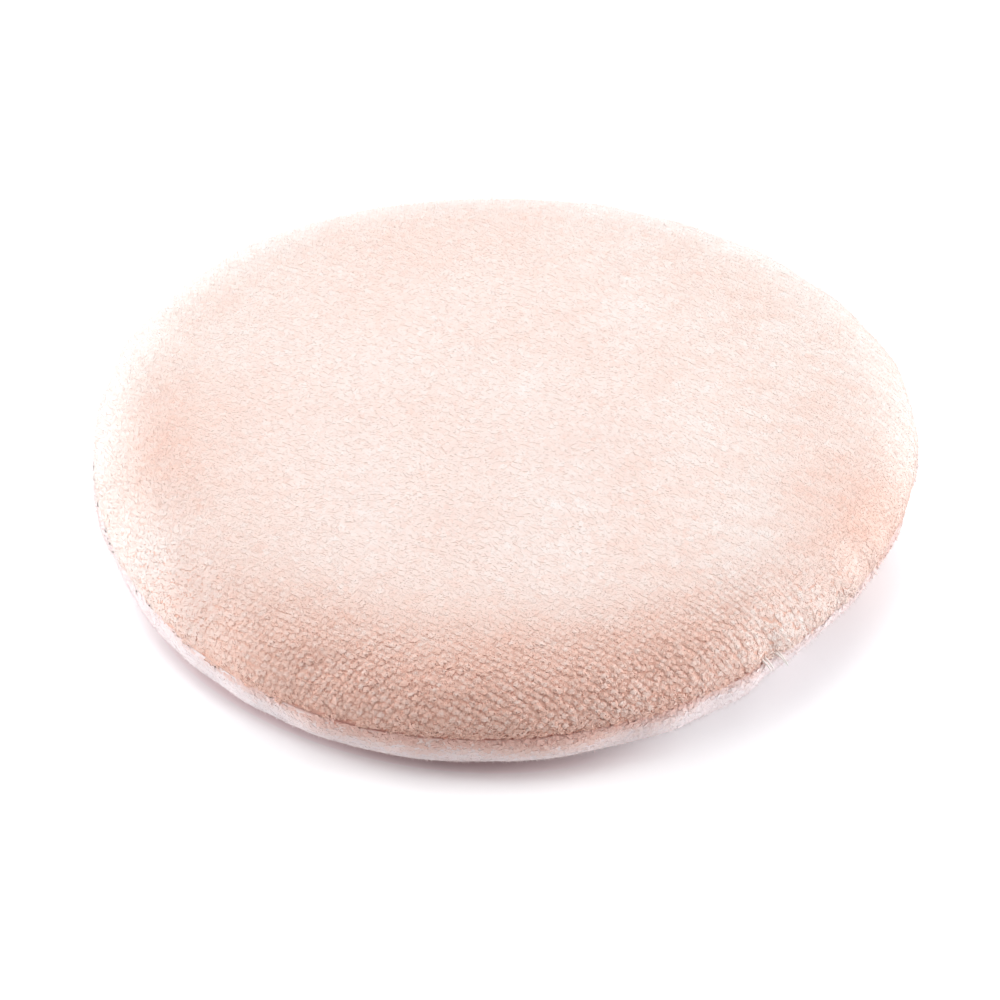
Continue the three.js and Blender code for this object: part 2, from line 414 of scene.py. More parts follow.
# A bell curve: 1 at the middle, falling off on both sides
def bell(value, middle, width):
    return np.exp(-(((value - middle) / width) ** 2))


# Smooth bumps over a plane: a sum of sine waves in spread directions, about -1 to 1
def ripple(x, y, wavelength, seed, waves=7):
    stretch = (0.75, 1.4)  # of the wavelength, from wave to wave
    dice = np.random.default_rng(seed)
    total = 0
    for _ in range(waves):
        way = dice.uniform(0, fullTurn)
        pitch = fullTurn / (wavelength * dice.uniform(*stretch))
        total = total + np.sin((x * math.cos(way) + y * math.sin(way)) * pitch + dice.uniform(0, fullTurn))
    return total / math.sqrt(waves)


cloth = {
    "pileHeight": 0.9 * mm,
    "ground": 0.45 * mm,
    "stitchRadius": 39.35 * mm,
    "seamGap": 0.03 * mm,
    "allowance": 3.2 * mm,
    "roundSteps": 260,
    "outSteps": 120,
    "domeSteps": 80,
    "shoulderSteps": 120,
    "creaseSteps": 60,
    "shoulderPull": 0.552,  # the handles of a Bezier curve that is nearly a quarter of an ellipse
    "cutDiameter": 92 * mm,
    "seamRelief": (0.98, 1.0),  # shares of the way to the seam between which the bed comes up to it
    "hiddenRings": 10,  # rings of the inside that the turned-in edge takes the place of
    "partedWay": (-85, 0.55, 1.1),  # where tufts part most
    "partedLeast": 0.06,
    "shadedWay": (-93, 0.54, 1.05),  # the shaded front, where shade is painted
    "shadedBand": (0.54, 0.93),
}
upperCover = {
    "name": "upper",
    "side": 1,
    "face": upperHigh[2] - seamHeight,
    "shoulder": 17 * mm,
    "crown": 0.8 * mm,
    "widestLine": 0.8 * mm,  # away from the seam
    "parting": (1.0, 0.66, 0.90),  # how far tufts part, and between which shares of the way to the seam
    "ragged": (0.015, 0.06),  # how far their cut ends tilt, where tufts stand close and where they part
    "full": 1.0,  # how closely the cut ends of its locks lie
    "relief": (0.04 * mm, 0.17 * mm),  # how far tufts stand out of their bed, on the face and on the rim
    "napShare": 1.0,  # how far its pile leans with the nap
    "hangShare": 1.0,  # how far its last tufts hang over the seam
    "gatherSeed": 11,
}
lowerCover = {
    "name": "lower",
    "side": -1,
    "face": seamHeight - lowerLow[2],
    "shoulder": 11 * mm,
    "crown": 0.0,
    "widestLine": 1.2 * mm,
    "parting": (0.9, 0.95, 0.985),
    "ragged": (0.015, 0.06),
    "full": 1.4,
    "relief": (0.004 * mm, 0.10 * mm),
    "napShare": 0.35,
    "hangShare": 0.3,
    "gatherSeed": 12,
}
covers = (upperCover, lowerCover)


# Half a cross-section of a cover over the tips of its pile, from the middle of its face to the stitch
# line: a shallow dome, a Bezier shoulder to the widest line, then a quarter of an ellipse into the crease.
# Comes back as radius and height over the seam, with the length along it and that at the widest line.
def coverProfile(cover):
    middle, line = cover["face"], cover["widestLine"]
    domeRadius = rimRadius - cover["shoulder"]
    r = np.linspace(0, domeRadius, cloth["domeSteps"])
    dome = np.stack([r, middle - cover["crown"] * (r / domeRadius) ** 2], 1)
    start, end = dome[-1], np.array([rimRadius, line])
    slope = np.array([1, -2 * cover["crown"] / domeRadius])
    near = start + cloth["shoulderPull"] * (rimRadius - domeRadius) * slope
    far = end + np.array([0, cloth["shoulderPull"] * (start[1] - line)])
    t = np.linspace(0, 1, cloth["shoulderSteps"])[1:, None]
    shoulder = (1 - t) ** 3 * start + 3 * t * (1 - t) ** 2 * near + 3 * t * t * (1 - t) * far + t**3 * end
    turn = np.linspace(0, math.pi / 2, cloth["creaseSteps"])[1:]
    creaseR = cloth["stitchRadius"] + (rimRadius - cloth["stitchRadius"]) * np.cos(turn)
    creaseH = line - (line - cloth["seamGap"]) * np.sin(turn)
    outline = np.concatenate([dome, shoulder, np.stack([creaseR, creaseH], 1)])
    length = np.concatenate([[0], np.cumsum(np.hypot(*np.diff(outline, axis=0).T))])
    return outline[:, 0], outline[:, 1], length, length[len(dome) + len(shoulder) - 1]


for cover in covers:
    cover["r"], cover["h"], cover["length"], cover["widestLength"] = coverProfile(cover)
    print(cover["name"], "cover runs", round(cover["length"][-1] / mm, 2), "mm from middle to seam")

handmade = {
    "round": ((2, -0.0026, 0.016), (3, 0.0105, 0.0191)),  # waves round the rim, cosine and sine shares
    "rimBand": (0.78, 0.95),  # shares of the rim's radius between which hand work starts to show
    "bulge": 2.2 * mm,  # how far from the widest line it shows
    "closingFrom": math.radians(-49),  # hand-closed stretch of the seam
    "closingFromEase": (-0.03, 0.04),  # how far off that angle it starts and is whole
    "closingTo": math.radians(14),
    "closingToEase": (-0.5, 0.15),
    "tuck": 0.65 * mm,  # how far the lower cover is drawn in there
    "tuckAt": 2.2 * mm,  # below the seam
    "tuckWidth": 2.4 * mm,
    "droop": 0.15 * mm,  # how far the upper cover hangs over it
    "lump": 0.15 * mm,
    "lumpPitch": 6 * mm,
    "lumpSeed": 3,
    "gather": 0.12 * mm,
    "gatherPitch": 9 * mm,
    "dent": 0.35 * mm,
    "dentWidth": 0.035,
    "flushWay": (-140, 0.6, 0.9),  # where the seam lies nearly flush
    "flushLeast": 0.45,
    "flushMost": 0.95,
    "puckers": (  # angle on the rim in degrees, half length
        (-140, 1.0 * mm),
        (-132, 1.1 * mm),
        (-127.5, 0.8 * mm),
        (-117, 1.0 * mm),
        (-114, 1.6 * mm),
        (-110, 1.7 * mm),
        (-105, 1.2 * mm),
        (-97, 0.9 * mm),
    ),
    "puckerSlope": 0.36,  # a pucker runs across the seam at a slant
    "puckerDepth": 0.35 * mm,
    "puckerWidth": 0.5 * mm,
    "puckerPeak": 1.6,  # over 1, so that a pucker is whole along its middle
}


# How far the seam's hand-closed stretch shows at an angle, from 0 to 1
def closing(angle):
    def past(end):
        start, whole = handmade[end + "Ease"]
        return smoothStep(handmade[end] + start, handmade[end] + whole, wrapped(angle))

    return past("closingFrom") * (1 - past("closingTo"))


# How far a place by the seam lies in one of its puckers, from 0 to 1: short slanting folds, each a bump
# that falls off along and across its line. The lift is the height over the seam.
def pucker(angle, lift, width):
    total = 0
    for degrees, half in handmade["puckers"]:
        along = wrapped(angle - math.radians(degrees)) * rimRadius
        across = lift - handmade["puckerSlope"] * along
        total = total + handmade["puckerPeak"] * np.exp(-((along / half) ** 2) - (across / width) ** 2)
    return np.minimum(total, 1)


# Where a cover's outside lies before the cloth settles: the profile turned round Z, with the unevenness
# of hand work. Angle and length may be arrays of any one shape.
def plannedSurface(cover, angle, length):
    r = np.interp(length, cover["length"], cover["r"])
    h = np.interp(length, cover["length"], cover["h"])
    outness = r / rimRadius
    swell = 0
    for count, cosShare, sinShare in handmade["round"]:
        swell = swell + cosShare * np.cos(count * angle) + sinShare * np.sin(count * angle)
    r = r * (1 + swell * outness**2)
    rim = smoothStep(*handmade["rimBand"], outness)
    opened = closing(angle)
    bulge = bell(h, cover["widestLine"], handmade["bulge"]) * rim
    if cover["side"] < 0:
        tucked = bell(h, handmade["tuckAt"], handmade["tuckWidth"]) * rim
        r = r - opened * tucked * handmade["tuck"]
    else:
        h = h - opened * bulge * handmade["droop"]
        along = angle * rimRadius
        lumps = ripple(along, 0 * along, handmade["lumpPitch"], handmade["lumpSeed"])
        r = r + opened * bulge * handmade["lump"] * lumps
    dent = bell(wrapped(angle), handmade["closingFrom"], handmade["dentWidth"])
    r = r - dent * bulge * handmade["dent"]
    rimX, rimY = np.cos(angle) * rimRadius, np.sin(angle) * rimRadius
    gathers = ripple(rimX, rimY, handmade["gatherPitch"], cover["gatherSeed"])
    r = r + bulge * handmade["gather"] * gathers
    folds = pucker(angle, cover["side"] * h, handmade["puckerWidth"])
    r = r - rim * handmade["puckerDepth"] * folds
    flush = towards(angle, handmade["flushWay"])
    flush = handmade["flushLeast"] + (handmade["flushMost"] - handmade["flushLeast"]) * flush
    crease = (1 + swell) * rimRadius - r
    r = r + flush * crease * (length > cover["widestLength"])
    z = seamHeight + cover["side"] * h
    return np.stack([r * np.cos(angle), r * np.sin(angle), z], -1)


# Reads a grid of angle by length at any places, straight between its points
def readGrid(grid, angle, share):
    rounds, outs = grid.shape[:2]
    i = (angle / fullTurn) % 1 * rounds
    j = np.clip(share, 0, 1) * (outs - 1)
    i0 = np.floor(i).astype(int) % rounds
    j0 = np.minimum(np.floor(j).astype(int), outs - 2)
    fi = (i - np.floor(i))[..., None]
    fj = (j - j0)[..., None]
    i1 = (i0 + 1) % rounds
    near = grid[i0, j0] * (1 - fi) + grid[i1, j0] * fi
    far = grid[i0, j0 + 1] * (1 - fi) + grid[i1, j0 + 1] * fi
    return near * (1 - fj) + far * fj


settling = {
    "roundSteps": 144,
    "outSteps": 40,
    "startShare": 0.12,  # the middle of both faces is left out
    "scale": 12.0,  # the cloth settles at the size of a seat cushion
    "frames": 22,
    "cap": 0.4 * mm,
    "freeFrom": 0.5,  # share of the rim's radius where the top may start to move
    "freeAt": 0.95,
    "floorBand": 0.1 * mm,  # what lies lower than this stays on the floor
    "smoothing": 2,
    "fabric": {  # in Blender's own words
        "quality": 6,
        "mass": 0.15,
        "tension_stiffness": 12,
        "compression_stiffness": 12,
        "shear_stiffness": 4,
        "bending_stiffness": 0.6,
        "air_damping": 4,
        "use_pressure": True,
        "uniform_pressure_force": 3.0,
        "shrink_min": -0.02,
        "vertex_group_mass": "held",
    },
}


# Lets both covers settle as cloth under a little pressure, held at the stitch line and where they lie
# flat, and gives back how far each grid point moved
def settleCovers():
    rounds, outs = settling["roundSteps"], settling["outSteps"]
    shares = np.linspace(settling["startShare"], 1, outs)
    grids = []
    for cover in covers:
        length = shares * cover["length"][-1]
        grids.append(plannedSurface(cover, *np.meshgrid(turnSteps(rounds), length, indexing="ij")))
    points = np.concatenate([grids[0], grids[1][:, ::-1]], 1)
    faces = ringQuads(*points.shape[:2])
    piece = meshPiece("settling", points.reshape(-1, 3) * settling["scale"], faces, None)
    rimShare = np.hypot(points[..., 0], points[..., 1]) / rimRadius
    held = (rimShare < settling["freeFrom"]) | (points[..., 2] < settling["floorBand"])
    held[:, outs - 1 : outs + 1] = True
    group = piece.vertex_groups.new(name="held")
    group.add(np.nonzero(held.ravel())[0].tolist(), 1.0, "REPLACE")
    fabric = piece.modifiers.new("fabric", "CLOTH")
    for key, value in settling["fabric"].items():
        setattr(fabric.settings, key, value)
    fabric.settings.effector_weights.gravity = 0
    fabric.collision_settings.use_collision = False
    scene = bpy.context.scene
    for step in range(1, settling["frames"] + 1):
        scene.frame_set(step)
    settled = piece.evaluated_get(bpy.context.evaluated_depsgraph_get()).to_mesh()
    moved = np.empty(len(settled.vertices) * 3, np.float32)
    settled.vertices.foreach_get("co", moved)
    scene.frame_set(1)
    moved = moved.reshape(points.shape) / settling["scale"] - points
    bpy.data.meshes.remove(piece.data)
    far = np.linalg.norm(moved, axis=-1, keepdims=True)
    print("cloth settled, farthest move", round(float(far.max()) / mm, 2), "mm")
    moved = moved * np.tanh(far / settling["cap"]) / np.maximum(far / settling["cap"], 1e-9)
    moved = moved * smoothStep(settling["freeFrom"], settling["freeAt"], rimShare)[..., None]
    for _ in range(settling["smoothing"]):
        moved = (np.roll(moved, 1, 0) + 2 * moved + np.roll(moved, -1, 0)) / 4
    return moved[:, :outs], moved[:, outs:][:, ::-1]


# The outside as a fine grid of points after settling, with the directions round and outwards. The normal
# is their cross product.
def coverGrid(cover, moved):
    share = np.linspace(0, 1, cloth["outSteps"])
    angle, share = np.meshgrid(turnSteps(cloth["roundSteps"]), share, indexing="ij")
    points = plannedSurface(cover, angle, share * cover["length"][-1])
    if moved is not None:
        settledShare = (share - settling["startShare"]) / (1 - settling["startShare"])
        points = points + readGrid(moved, angle, settledShare) * (settledShare > 0)[..., None]
    around = np.roll(points, -1, 0) - np.roll(points, 1, 0)
    around[:, 0] = np.stack([-np.sin(angle[:, 0]), np.cos(angle[:, 0]), 0 * angle[:, 0]], -1)
    cover["points"] = points
    cover["around"] = unit(around)
    cover["outward"] = unit(np.gradient(points, axis=1))
    cover["normal"] = unit(np.cross(cover["outward"], cover["around"]) * cover["side"])


# How far tufts are parted, from 0 to 1: they open over the bend of the rim, most at the front
def parted(cover, angle, share):
    most, low, high = cover["parting"]
    front = cloth["partedLeast"] + (1 - cloth["partedLeast"]) * towards(angle, cloth["partedWay"])
    return most * smoothStep(low, high, share) * front


# How far a place lies on the shaded front of the rim, from 0 to 1, where shade is painted on the tufts
def shadedSide(angle, share):
    return smoothStep(*cloth["shadedBand"], share) * towards(angle, cloth["shadedWay"])


# A cover's velour: the bed of its pile, the turned-in edge, and the inside of the knitted ground
def velourPiece(cover, material):
    share = np.linspace(0, 1, cloth["outSteps"])
    angle, share = np.meshgrid(turnSteps(cloth["roundSteps"]), share, indexing="ij")
    relief = np.interp(parted(cover, angle, share), (0, 1), cover["relief"])
    relief = (relief * (1 - smoothStep(*cloth["seamRelief"], share)))[..., None]
    thick = cloth["pileHeight"] + cloth["ground"]
    outside = (cover["points"] - cover["normal"] * relief)[:, 1:]
    inside = (cover["points"] - cover["normal"] * thick)[:, 1:]
    edge = outside[:, -1]
    allowance = edge + unit(-edge * level) * cloth["allowance"]
    fold = np.stack([allowance, allowance + upward * cover["side"] * cloth["ground"]], 1)
    rings = np.concatenate([outside, fold, inside[:, ::-1][:, cloth["hiddenRings"] :]], 1)
    middle = cover["points"][:, 0].mean(0)
    poles = [middle - upward * cover["side"] * depth for depth in (relief[0, 0, 0], thick)]
    points, faces = closedRings(rings, *poles)
    if cover["side"] < 0:
        faces = faces[:, ::-1]
    return meshPiece(cover["name"] + "Velour", points, faces, material)


# Bands, here and below, are shares of the way from the middle of a cover to its seam
pile = {
    "rowOne": (0.466 * mm, 0.520 * mm),  # steps of the tuft grid on the flat velour
    "rowTwo": (0.520 * mm, -0.312 * mm),
    "gridReach": 1.7,  # how much farther the slanted grid is counted than the velour reaches
    "hub": 0.05 * mm,  # a tuft nearer the middle would have no direction
    "jitter": 0.06 * mm,
    "looseWay": (0.6, -0.8),  # where the rows are less even
    "looseFromTo": (30 * mm, 40 * mm),
    "locks": {"upper": (8, 20), "lower": (6, 9)},  # locks of fibres in a tuft, on the face and on the rim
    "fineBand": (0.50, 0.68),  # where tufts change from the first number of locks to the second
    "rimBand": (0.60, 0.84),
    "radius": (0.37 * mm, 0.40 * mm),  # of a tuft at its tips, where tufts stand close and where they part
    "reach": (1.0, 1.26),  # a tuft is longer along its lean than across it
    "gathered": 0.6,  # a tuft's root is this share of its width
    "loose": (0.28, 0.30),  # how unevenly its locks are spread
    "fullness": (1.2, 1.5),  # how much of a tuft's cell the cut ends of its locks cover
    "tipVary": 0.22,
    "long": (1.1, 1.25),  # a cut end is longer along its lean
    "depth": 0.7 * mm,
    "uneven": (0.004 * mm, 0.020 * mm),  # heights of locks
    "tuftUneven": (0.006 * mm, 0.055 * mm),  # and of whole tufts
    "rounded": 0.13 * mm,  # how far the outer locks of a parted tuft lie lower
    "dome": 0.5,  # and how far they face outwards
    "tilt": 0.08,  # how far cut ends face along the lean
    "sunk": 0.08 * mm,  # in a pucker
    "puckerWidth": 0.26 * mm,
    "hang": 0.09 * mm,  # how unevenly the last tufts hang over the seam
    "hangBand": (0.93, 0.985),
    "hangOut": 0.5,
    "fringeBand": (0.86, 0.96),  # the ragged stretch at the right of the front
    "fringeWay": (-50, 0.80, 0.95),
    "fringeHang": 1.2,  # how much farther tufts hang there
    "hazeWay": (135, -0.1, 0.6),  # where single fibres are longer
    "seamBand": (0.965, 0.99),
    "lastShare": 0.997,
    "seamClear": 0.04 * mm,
    "sway": 0.10 * mm,  # how unevenly tufts end along the seam
    "crossing": 0.16 * mm,  # where the seam lies flush, the piles of both covers close over it
    "crossingWay": (-140, 0.75, 0.95),
    "floorClear": 0.02 * mm,
    "mapWidth": 0.006,
    "lockHeights": (1.0, 1.0, 0.98, 0.0),  # on the map, for the cut end's three corners and the root
    "piecesOf": {"upper": 7, "lower": 4},
}
nap = {
    "lay": (0.75, 0.12),
    "least": 0.25,  # share of the lean left in the middle of the face
    "wander": 0.14,
    "waves": (  # wavelength and seed of long and short strokes, along X and along Y
        ((22 * mm, 5), (9 * mm, 6)),
        ((20 * mm, 8), (8 * mm, 9)),
    ),
    "shortShare": 0.5,
    "rightFromTo": (4 * mm, 28 * mm),  # towards the right, the back and the edge the lean is whole
    "backFromTo": (10 * mm, 30 * mm),
    "backShare": 0.6,
    "edgeFromTo": (26 * mm, 38 * mm),
    "single": 0.12,  # how much each tuft strays from it
    "upright": 0.6,  # how much less tufts lean by the seam
    "uprightBand": (0.86, 0.97),
}
tones = {  # from 0 for deep to 1 for pale
    "upper": 0.54,
    "shaded": 0.52,  # painted shade: how much deeper the front of the rim is
    "paintedRimLight": 0.41,  # painted light: how much paler the rest of the rim is
    "brightBand": (0.71, 0.92),
    "brightLater": 0.03,  # the band starts this much farther out, except at the back
    "brightNot": (-85, 0.0, 0.7),  # where it isn't paler
    "brightRight": (0, 0.4, 1.0),  # and where it is less so
    "rightLess": 0.45,
    "back": (90, 0.2, 0.8),
    "backBand": (0.93, 0.955),  # the last rows at the back are less pale
    "backLess": 0.7,
    "cloud": 0.04,
    "cloudSize": 14 * mm,
    "cloudSeed": 15,
    "streak": 0.05,  # strokes along X on the right half
    "streakSize": 3 * mm,
    "streakSeed": 21,
    "streakStretch": 0.35,
    "streakFromTo": (-5 * mm, 15 * mm),
    "fringe": 0.12,
    "fringeBand": (0.88, 0.97),
    "root": (0.80, 0.18),  # how near the root's colour comes to the tip's, and how much more under the painted rim light
    # the lower cover's pale tone is painted light, for sheen and floor light
    "lower": 0.95,
    "lowerFront": (-93, 0.85, 0.99),
    "lowerDeeper": 0.18,  # there, as painted shade
    "underSeamShade": (0.05, 0.75),  # painted shade: how much deeper it is close below the seam, under the upper cover, and how much more in front
    "peachBand": (0.93, 0.98),
    "peachClosing": 0.8,  # how much less along the hand-closed stretch
    "lowerShaded": 0.8,
    "lowerShadedBand": (0.95, 0.985),
    "lowerRoot": 0.92,
    "napShadePatches": (  # painted shade where the nap looks deeper: middle on the flat velour, size, change of tone
        ((-33 * mm, -6 * mm), 9 * mm, -0.29),
        ((39 * mm, -12 * mm), 9 * mm, -0.45),
        ((-8 * mm, 25 * mm), 8 * mm, -0.13),
    ),
    "tuftVary": 0.05,
    "partedVary": 0.8,  # how much more parted tufts vary
    "lockVary": 0.03,
    "crown": 0.3,  # painted highlight: how much paler the middle of a parted tuft is
    "crownShare": 0.45,
    "high": 0.04,  # painted highlight: how much paler the locks are that stand higher
    "range": (0.05, 0.985),
    "lockShade": 0.62,  # painted shade: how much nearer the root's colour the outer locks of a parted tuft are
    "seamDusk": 0.75,  # and all of them down by the seam at the front, as painted shade
    "foldDusk": 0.95,  # and those in a pucker, as painted shade
}


# Which way the pile leans on the flat velour, as a push along X and Y per height of pile
def brushed(x, y):
    right = smoothStep(*nap["rightFromTo"], x)
    far = np.maximum(right, nap["backShare"] * smoothStep(*nap["backFromTo"], y))
    edge = smoothStep(*nap["edgeFromTo"], np.hypot(x, y))
    pressed = nap["least"] + (1 - nap["least"]) * np.maximum(far, edge)
    pushes = []
    for lay, (long, short) in zip(nap["lay"], nap["waves"]):
        strokes = ripple(x, y, *long) + nap["shortShare"] * ripple(x, y, *short)
        pushes.append(lay * pressed + nap["wander"] * strokes)
    return pushes


# Tones of the upper cover's tufts and of their roots: painted shade deepens the front of the rim, painted
# light pales the rest
def upperTone(field, flat, share):
    angle = field["angle"]
    back = towards(angle, tones["back"])
    # painted light: paler on the rim away from the front
    paintedRimLight = smoothStep(*tones["brightBand"], share - tones["brightLater"] * (1 - back))
    paintedRimLight = paintedRimLight * (1 - towards(angle, tones["brightNot"]))
    paintedRimLight = paintedRimLight * (1 - tones["rightLess"] * towards(angle, tones["brightRight"]))
    paintedRimLight = paintedRimLight * (1 - tones["backLess"] * back * smoothStep(*tones["backBand"], share))
    # painted shade at the front of the rim, painted light round the rest
    tone = tones["upper"] - tones["shaded"] * field["shaded"] + tones["paintedRimLight"] * paintedRimLight
    tone = tone + tones["cloud"] * ripple(*flat.T, tones["cloudSize"], tones["cloudSeed"])
    tone = tone + tones["fringe"] * smoothStep(*tones["fringeBand"], share) * field["fringe"]
    stretched = tones["streakStretch"] * flat[:, 0]
    streaks = ripple(stretched, flat[:, 1], tones["streakSize"], tones["streakSeed"])
    tone = tone + tones["streak"] * streaks * smoothStep(*tones["streakFromTo"], flat[:, 0])
    least, more = tones["root"]
    return tone, least + more * paintedRimLight


# Tones of the lower cover's tufts and of their roots: pale as painted light, deeper at the front and close
# below the seam as painted shade
def lowerTone(field, share):
    angle = field["angle"]
    front = towards(angle, tones["lowerFront"])
    least, more = tones["underSeamShade"]
    underSeamShade = (least + more * front) * (1 - tones["peachClosing"] * closing(angle))
    tone = tones["lower"] - tones["lowerDeeper"] * front - underSeamShade * smoothStep(*tones["peachBand"], share)
    return tone, np.full(len(angle), tones["lowerRoot"])


# The tufts of a cover: a slanted grid on the flat velour, laid on the outside by angle and length.
# Each has a place for its tips, a lean, a tone, and how far it is parted from its neighbours.
def tuftField(cover):
    reach = cover["length"][-1] * pile["lastShare"]
    one, two = np.array(pile["rowOne"]), np.array(pile["rowTwo"])
    count = int(pile["gridReach"] * reach / np.linalg.norm(two)) + 2
    steps = np.arange(-count, count + 1)
    i, j = np.meshgrid(steps, steps, indexing="ij")
    flat = i.reshape(-1, 1) * one + j.reshape(-1, 1) * two
    loose = smoothStep(*pile["looseFromTo"], flat @ np.array(pile["looseWay"]))
    flat = flat + chance.normal(0, pile["jitter"], flat.shape) * (1 + loose)[:, None]
    length = np.hypot(*flat.T)
    keep = (length < reach) & (length > pile["hub"])
    flat, length = flat[keep], length[keep]
    angle = np.arctan2(flat[:, 1], flat[:, 0])
    share = length / cover["length"][-1]
    push = np.stack(brushed(*flat.T), -1)
    push = push + chance.normal(0, nap["single"], push.shape)
    push = push * (1 - nap["upright"] * smoothStep(*nap["uprightBand"], share))[:, None] * cover["napShare"]
    outPush = push[:, 0] * np.cos(angle) + push[:, 1] * np.sin(angle)
    sidePush = push[:, 1] * np.cos(angle) - push[:, 0] * np.sin(angle)
    field = {k: readGrid(cover[k], angle, share) for k in ("points", "normal", "around", "outward")}
    field["angle"] = angle
    field["lean"] = outPush[:, None] * field["outward"] + sidePush[:, None] * field["around"]
    field["across"] = np.cross(field["normal"], unit(field["lean"]))
    field["lying"] = np.cross(field["across"], field["normal"])
    field["parted"] = parted(cover, angle, share)
    field["ragged"] = np.interp(field["parted"], (0, 1), cover["ragged"])
    field["shaded"] = shadedSide(angle, share)
    # painted shade on the tufts down by the seam at the front
    field["paintedSeamShade"] = smoothStep(*pile["seamBand"], share) * field["shaded"]
    field["rim"] = smoothStep(*pile["rimBand"], share)
    field["fine"] = chance.uniform(0, 1, len(flat)) < smoothStep(*pile["fineBand"], share)
    field["hang"] = smoothStep(*pile["hangBand"], share) * cover["hangShare"]
    field["haze"] = field["rim"] * towards(angle, pile["hazeWay"])
    field["fringe"] = smoothStep(*pile["fringeBand"], share) * towards(angle, pile["fringeWay"])
    if cover["side"] > 0:
        tone, field["rootTone"] = upperTone(field, flat, share)
    else:
        seamBand = smoothStep(*tones["lowerShadedBand"], share)
        field["shaded"] = tones["lowerShaded"] * field["shaded"] * seamBand
        tone, field["rootTone"] = lowerTone(field, share)
    # painted shade: patches where the nap looks deeper
    for (x, y), size, change in tones["napShadePatches"]:
        tone = tone + change * np.exp(-((flat[:, 0] - x) ** 2 + (flat[:, 1] - y) ** 2) / size**2)
    vary = chance.normal(0, tones["tuftVary"], len(flat)) * (1 + tones["partedVary"] * field["parted"])
    field["tone"] = tone + vary
    return field


# How far points of the pile lie in a pucker of the seam
def inPucker(place):
    return pucker(np.arctan2(place[..., 1], place[..., 0]), place[..., 2] - seamHeight, pile["puckerWidth"])


# Places on the map for wedges of four points: the width is their tone, the height runs from root to tip
def wedgeSpots(tone, height, tufts, count):
    across = np.array([-1, 1, 0, 0]) * pile["mapWidth"]
    spots = np.stack(np.broadcast_arrays(tone[..., None] + across, height), -1)
    return np.broadcast_to(spots, (tufts, count, 4, 2)).reshape(tufts, -1, 2)


# Locks of fibres: each is a thin wedge, pointed at its root and cut off at its tip. Those of a tuft are
# spread like the seeds of a sunflower.
def lockPoints(cover, field, count):
    tufts = len(field["tone"])
    apart = field["parted"][:, None]
    middle, normal, lean, across = [field[k][:, None] for k in ("points", "normal", "lean", "across")]

    def between(key):
        return np.interp(apart, (0, 1), pile[key])

    k = np.arange(count)
    out = np.sqrt((k + 0.5) / count) * chance.normal(1, between("loose"), (tufts, count))
    turn = k * goldenAngle + chance.uniform(0, fullTurn, (tufts, 1))
    spoke = (out * np.cos(turn) * between("reach"))[..., None] * field["lying"][:, None]
    spoke = spoke + (out * np.sin(turn) / between("reach"))[..., None] * across
    radius = between("radius")[..., None]
    place = middle + spoke * radius
    folded = inPucker(place)
    height = chance.normal(0, 1, (tufts, count))
    rise = height * between("uneven") + chance.normal(0, 1, (tufts, 1)) * between("tuftUneven")
    rise = rise - pile["rounded"] * apart * out**2 - pile["sunk"] * folded
    hang = np.abs(chance.normal(0, pile["hang"], (tufts, count))) * field["hang"][:, None]
    hang = hang * (1 + pile["fringeHang"] * field["fringe"][:, None])
    down = -cover["side"] * upward
    tip = place + normal * (rise + pile["hangOut"] * hang)[..., None] + down * hang[..., None]
    root = middle + spoke * radius * pile["gathered"] - (normal + lean) * pile["depth"]
    facing = normal + pile["dome"] * apart[..., None] * spoke + pile["tilt"] * lean
    facing = unit(facing + chance.normal(0, 1, tip.shape) * field["ragged"][:, None, None])
    first = unit(np.cross(facing, np.broadcast_to(across, facing.shape)))
    second = np.cross(facing, first)
    (oneX, oneY), (twoX, twoY) = pile["rowOne"], pile["rowTwo"]
    cell = abs(oneX * twoY - oneY * twoX)
    size = np.sqrt(between("fullness") * cover["full"] * cell / (count * triangleArea))
    size = size * chance.normal(1, pile["tipVary"], (tufts, count))
    start = chance.uniform(0, fullTurn, (tufts, count))
    corners = []
    for angle in turnSteps(3):
        along = size * between("long") * np.cos(start + angle)
        aside = size * np.sin(start + angle)
        corners.append(tip + along[..., None] * first + aside[..., None] * second)
    points = np.stack([*corners, root], 2)
    faces = np.array([[0, 1, 2], [1, 0, 3], [2, 1, 3], [0, 2, 3]])
    outer = np.clip(out, 0, 1) ** 2
    # painted shade on the outer locks of parted tufts, in puckers and by the seam at the front
    lockShade = np.maximum(tones["lockShade"] * apart * outer, tones["foldDusk"] * folded)
    lockShade = np.maximum(lockShade, tones["seamDusk"] * field["paintedSeamShade"][:, None])
    # painted shade: on the shaded front the roots take their full colour
    deep = (field["rootTone"] * (1 - field["shaded"]))[:, None, None]
    mapHeight = (deep + (1 - deep) * np.array(pile["lockHeights"])) * (1 - lockShade[..., None])
    # painted highlight on the middle of parted tufts and on higher locks
    crown = tones["crown"] * (tones["crownShare"] - outer) + tones["high"] * height
    tone = field["tone"][:, None] + apart * crown + chance.normal(0, tones["lockVary"], (tufts, count))
    spots = wedgeSpots(np.clip(tone, *tones["range"]), mapHeight, tufts, count)
    return points.reshape(tufts, -1, 3), faces, spots


